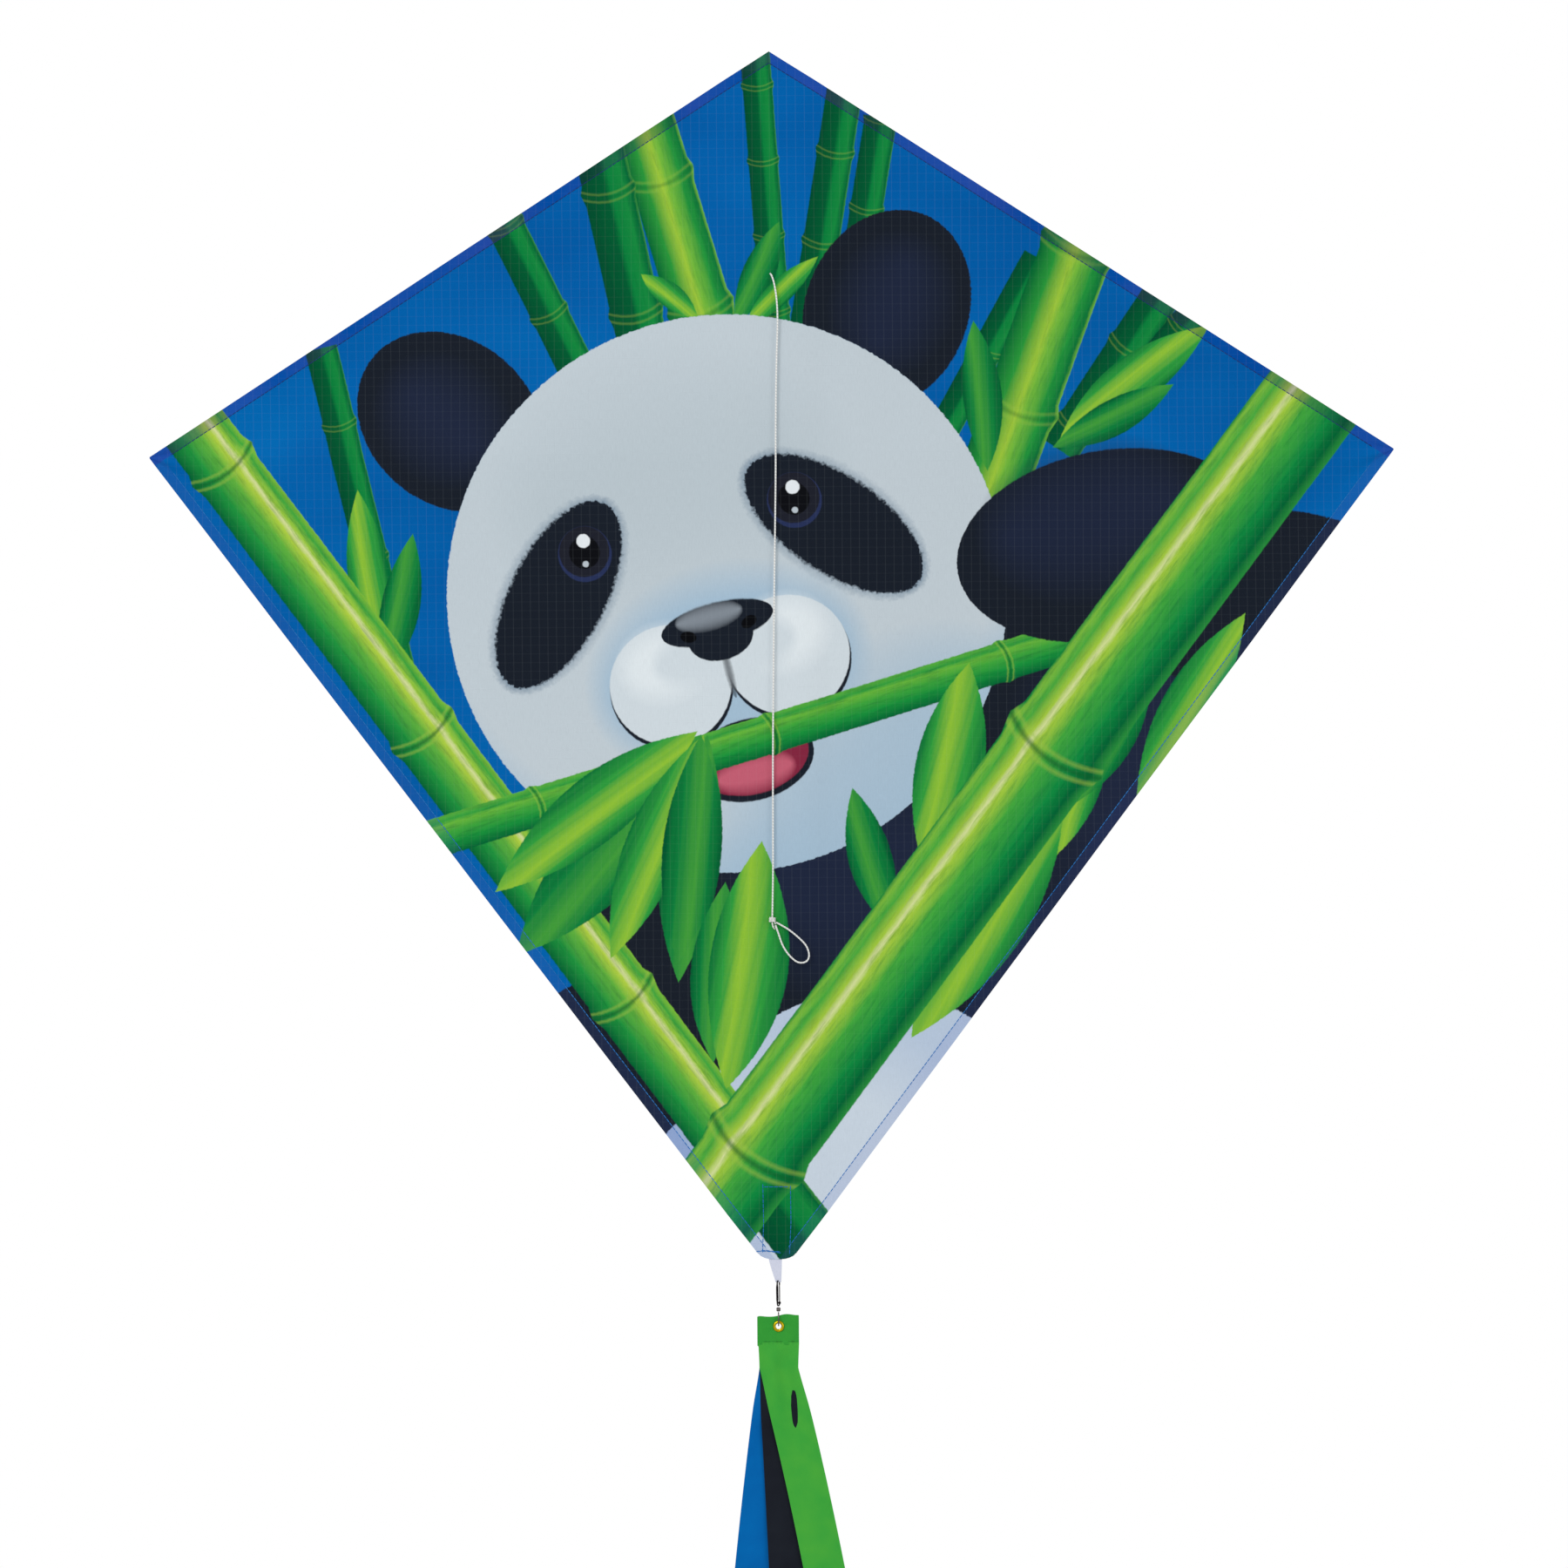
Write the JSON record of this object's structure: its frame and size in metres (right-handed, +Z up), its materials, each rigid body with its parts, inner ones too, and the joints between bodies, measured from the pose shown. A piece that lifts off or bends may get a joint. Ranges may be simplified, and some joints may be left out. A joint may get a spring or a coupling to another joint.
{
  "type": "diamond kite",
  "caption": "Flat printed diamond kite on a rod frame, with wings that fold back, a bridle with a sliding tow loop, and streamers on a swivel clip.",
  "frame": {"origin": "middle of the centre fitting's flat back face, level with the cross spar", "axes": "+Z up along the spine to the nose, printed front towards -Y, +X to the viewer's right when the front is seen"},
  "size_m": [0.762, 0.0517, 1.8057],
  "materials": {
    "sail_cloth": "satin",
    "hem_cloth": "satin",
    "patch_cloth": "satin",
    "string": "matte",
    "ribbon": "satin",
    "fibreglass": "satin",
    "vinyl": "matte",
    "dark_steel": "satin",
    "bright_steel": "polished",
    "eyelet_brass": "polished",
    "green_cloth": "satin",
    "black_cloth": "satin",
    "blue_cloth": "satin"
  },
  "bodies": {
    "airframe": {"spine_rod": "fibreglass", "nose_cap": "vinyl", "tail_cap": "vinyl", "centre_block": "vinyl", "sail_centre": "sail_cloth", "nose_pocket": "patch_cloth", "tail_pocket": "patch_cloth", "upper_bridle_patch": "patch_cloth", "lower_bridle_patch": "patch_cloth", "upper_bridle_hitch": "string", "lower_bridle_hitch": "string", "bridle_line": "string"},
    "left_wing": {"left_sail_panel": "sail_cloth", "left_upper_hem": "hem_cloth", "left_lower_hem": "hem_cloth", "left_tip_pocket": "patch_cloth", "left_cross_spar": "fibreglass", "left_tip_cap": "vinyl", "left_connector_arm": "vinyl"},
    "right_wing": {"right_sail_panel": "sail_cloth", "right_upper_hem": "hem_cloth", "right_lower_hem": "hem_cloth", "right_tip_pocket": "patch_cloth", "right_cross_spar": "fibreglass", "right_tip_cap": "vinyl", "right_connector_arm": "vinyl"},
    "tow_knot": {"tow_knot": "string"},
    "tow_loop": {"tow_loop": "string"},
    "ribbon": {"ribbon_loop": "ribbon"},
    "snap": {"snap_frame": "dark_steel", "swivel_barrel": "bright_steel"},
    "gate": {"snap_gate": "bright_steel"},
    "swivel": {"swivel_ring": "bright_steel"},
    "tail_head": {"tail_head": "green_cloth", "tail_eyelet": "eyelet_brass"},
    "green_tail": {"green_tail": "green_cloth"},
    "black_tail": {"black_tail": "black_cloth"},
    "blue_tail": {"blue_tail": "blue_cloth"}
  },
  "joints": [
    {"name": "left_wing_fold", "type": "hinge", "parent": "airframe", "child": "left_wing", "pos_m": [-0.0135, -0.00475, 0], "axis": [0, 0, -1], "range_deg": [-6, 74], "stiffness_Nm_per_rad": 0.5},
    {"name": "right_wing_fold", "type": "hinge", "parent": "airframe", "child": "right_wing", "pos_m": [0.0135, -0.00475, 0], "axis": [0, 0, 1], "range_deg": [-6, 74], "stiffness_Nm_per_rad": 0.5},
    {"name": "tow_knot_slide", "type": "slide", "parent": "airframe", "child": "tow_knot", "axis": [0.0151, 0, 0.9999], "range_m": [0, 0.34]},
    {"name": "tow_loop_swing", "type": "hinge", "parent": "tow_knot", "child": "tow_loop", "pos_m": [-0.0015, -0.0128, -0.2852], "axis": [0, 0, 1], "range_deg": [-175, 0]},
    {"name": "ribbon_flap", "type": "hinge", "parent": "airframe", "child": "ribbon", "pos_m": [0, -0.01, -0.4929], "axis": [1, 0, 0], "range_deg": [-60, 60]},
    {"name": "snap_swing", "type": "hinge", "parent": "ribbon", "child": "snap", "pos_m": [0.0006, -0.01, -0.50545], "axis": [0, 1, 0], "range_deg": [-30, 30]},
    {"name": "snap_gate_open", "type": "hinge", "parent": "snap", "child": "gate", "pos_m": [0.00126, -0.00796, -0.5192], "axis": [0.9511, -0.309, 0], "range_deg": [0, 12], "stiffness_Nm_per_rad": 0.00002},
    {"name": "swivel_spin", "type": "hinge", "parent": "snap", "child": "swivel", "pos_m": [0.0006, -0.01, -0.5228], "axis": [0, 0, 1], "continuous": true},
    {"name": "tail_head_swing", "type": "hinge", "parent": "swivel", "child": "tail_head", "pos_m": [0.0006, -0.01, -0.533], "axis": [0, 1, 0], "range_deg": [-20, 20]},
    {"name": "green_tail_fan", "type": "hinge", "parent": "tail_head", "child": "green_tail", "pos_m": [0.0006, -0.01, -0.5583], "axis": [0, 1, 0], "range_deg": [-20, 20], "stiffness_Nm_per_rad": 0.02, "springref_deg": -5.73},
    {"name": "black_tail_fan", "type": "hinge", "parent": "tail_head", "child": "black_tail", "pos_m": [0.0006, -0.01, -0.5583], "axis": [0, 1, 0], "range_deg": [-20, 20], "stiffness_Nm_per_rad": 0.02, "springref_deg": -1.15},
    {"name": "blue_tail_fan", "type": "hinge", "parent": "tail_head", "child": "blue_tail", "pos_m": [0.0006, -0.01, -0.5583], "axis": [0, 1, 0], "range_deg": [-20, 20], "stiffness_Nm_per_rad": 0.02, "springref_deg": 4.01}
  ]
}
